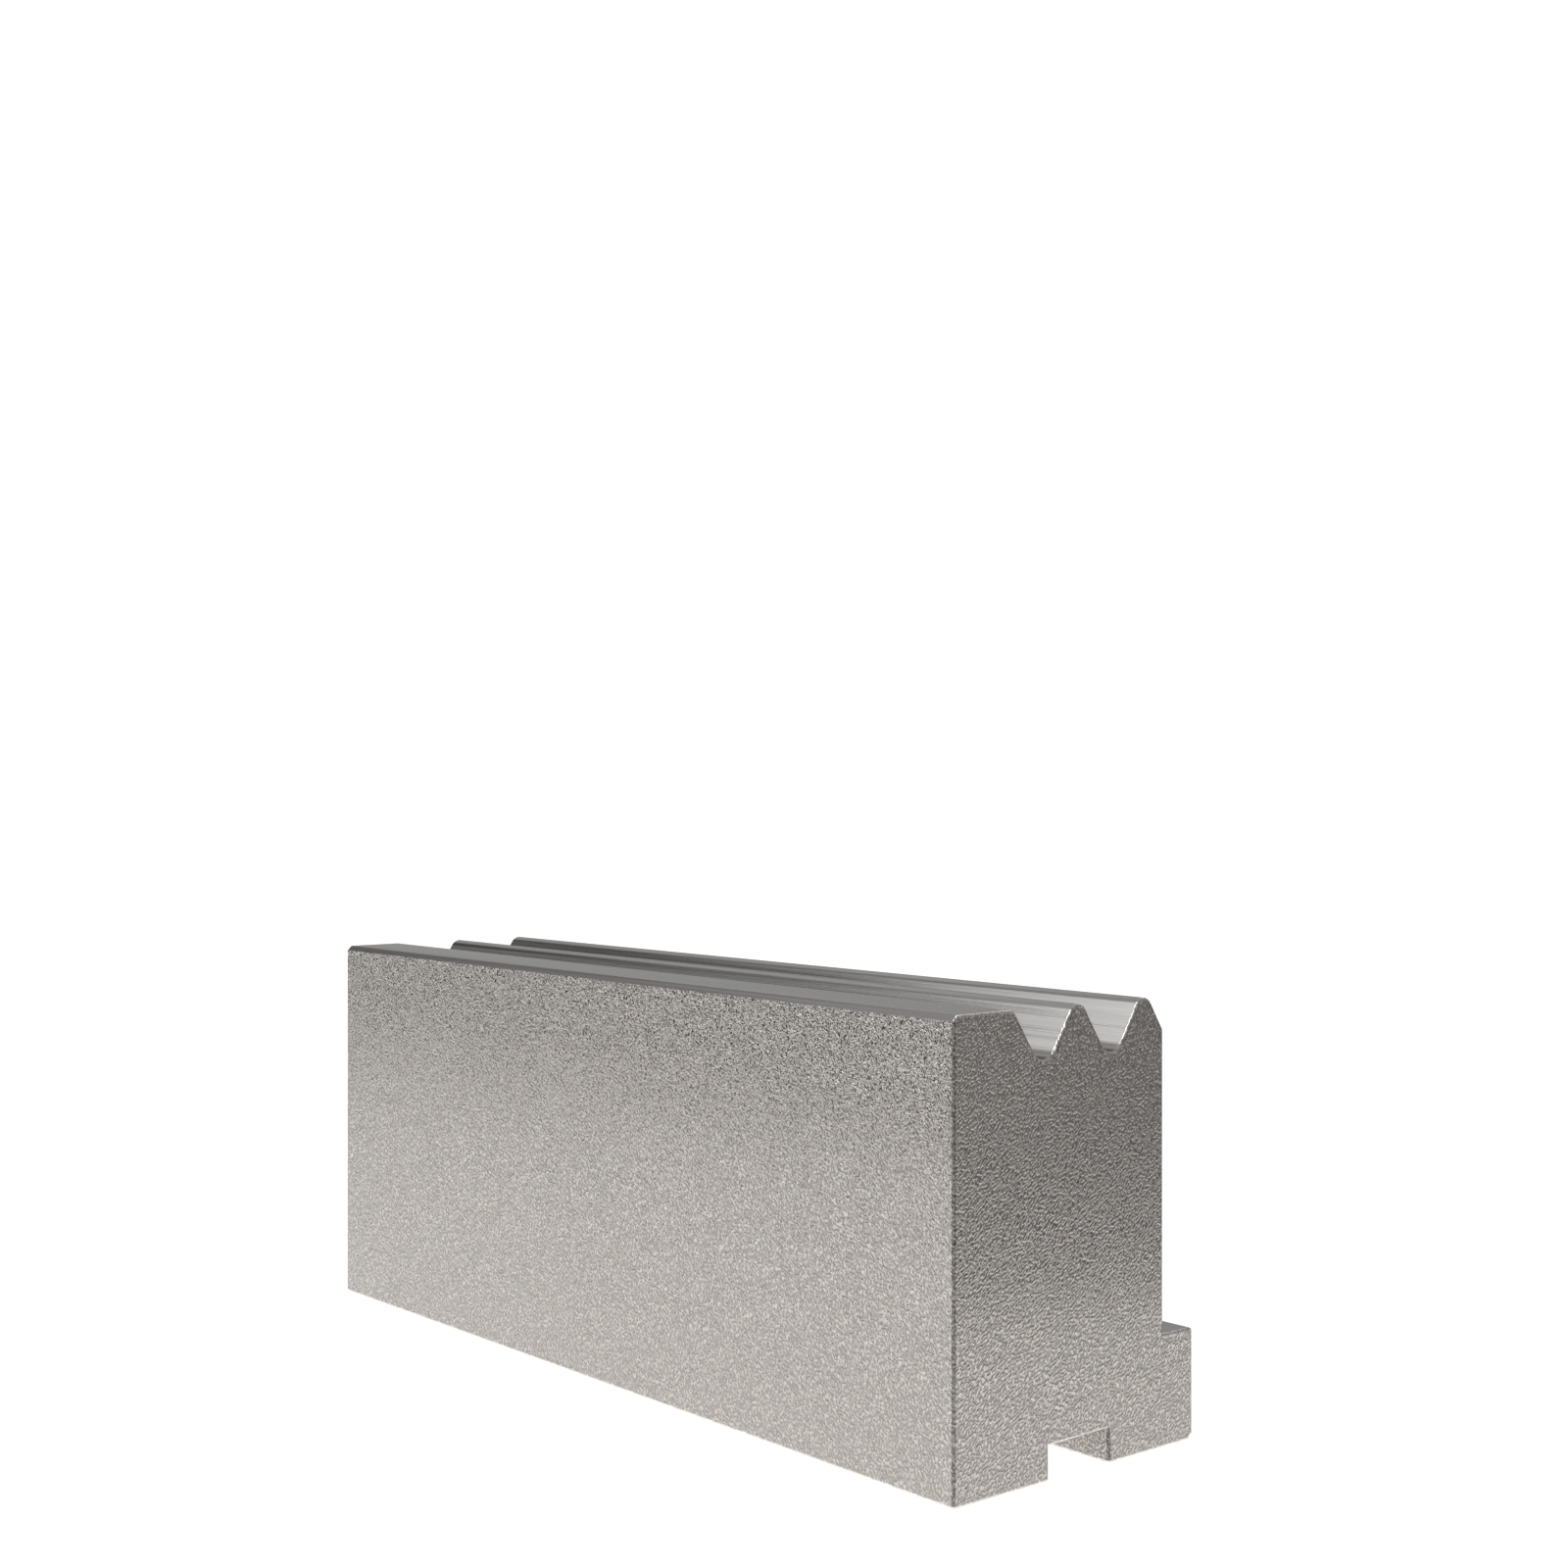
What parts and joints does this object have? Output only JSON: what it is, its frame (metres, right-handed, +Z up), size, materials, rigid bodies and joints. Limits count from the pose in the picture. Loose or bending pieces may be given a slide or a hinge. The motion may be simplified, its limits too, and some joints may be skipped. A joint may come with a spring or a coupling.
{
  "type": "press brake v die",
  "caption": "Steel press brake die: rounded V grooves side by side along its top bend sheet into waves, with a clamping heel along its foot and a locating slot along its base.",
  "frame": {"origin": "middle of the base, on the face that the die rests on", "axes": "+X along the die, -Y towards the flat front face, +Y towards the clamping heel, +Z up to the working profile"},
  "size_m": [0.2, 0.06, 0.08],
  "materials": {
    "tool_steel": "satin, finely pebbled all over"
  },
  "bodies": {
    "root": {"die": "tool_steel"}
  },
  "joints": []
}
